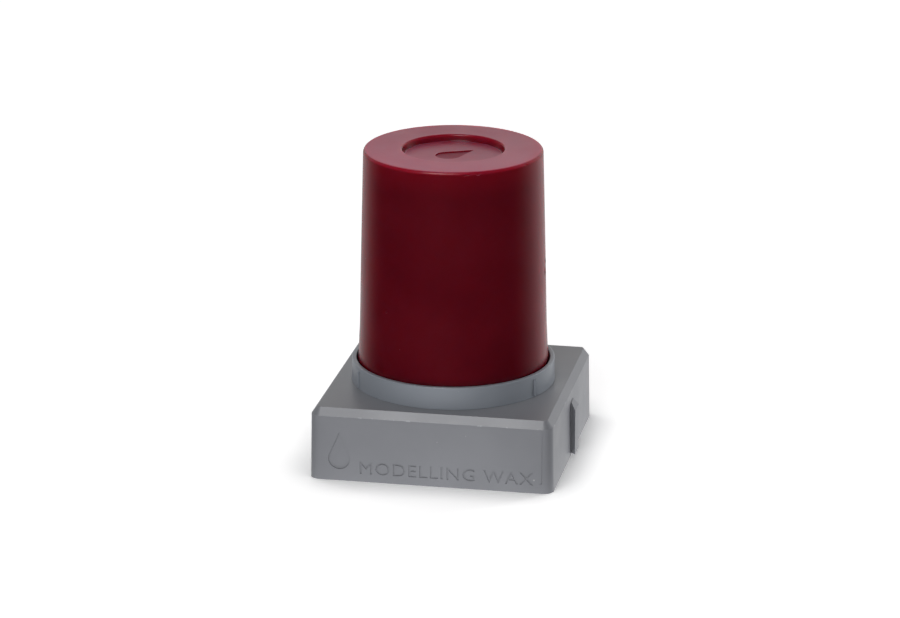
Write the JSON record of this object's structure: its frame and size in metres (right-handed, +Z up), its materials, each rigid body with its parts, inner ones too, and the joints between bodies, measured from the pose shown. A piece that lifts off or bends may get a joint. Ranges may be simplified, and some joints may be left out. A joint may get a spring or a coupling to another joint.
{
  "type": "modelling wax block on a turntable base",
  "caption": "Tapered block of dark red modelling wax standing in a turning round dish on a square grey plastic base that links to its neighbours.",
  "frame": {"origin": "on the axis of the wax block, in the plane that the base stands on", "axes": "+Z up along the wax block, -Y the front with the drop emblem, +X the wall with the link rail"},
  "size_m": [0.0571, 0.056, 0.0717],
  "materials": {
    "base_plastic": "fine satin grain, mid grey",
    "dish_plastic": "smooth satin, mid grey",
    "wax": "soft gloss of hard cast wax, dark red"
  },
  "bodies": {
    "base": {"base_shell": "base_plastic"},
    "dish": {"wax_dish": "dish_plastic"},
    "wax": {"wax_block": "wax"}
  },
  "joints": [
    {"name": "dish_turn", "type": "hinge", "parent": "base", "child": "dish", "pos_m": [0, 0, 0.0169], "axis": [0, 0, 1], "continuous": true},
    {"name": "wax_lift", "type": "slide", "parent": "dish", "child": "wax", "axis": [0, 0, 1], "range_m": [0, 0.02]}
  ]
}
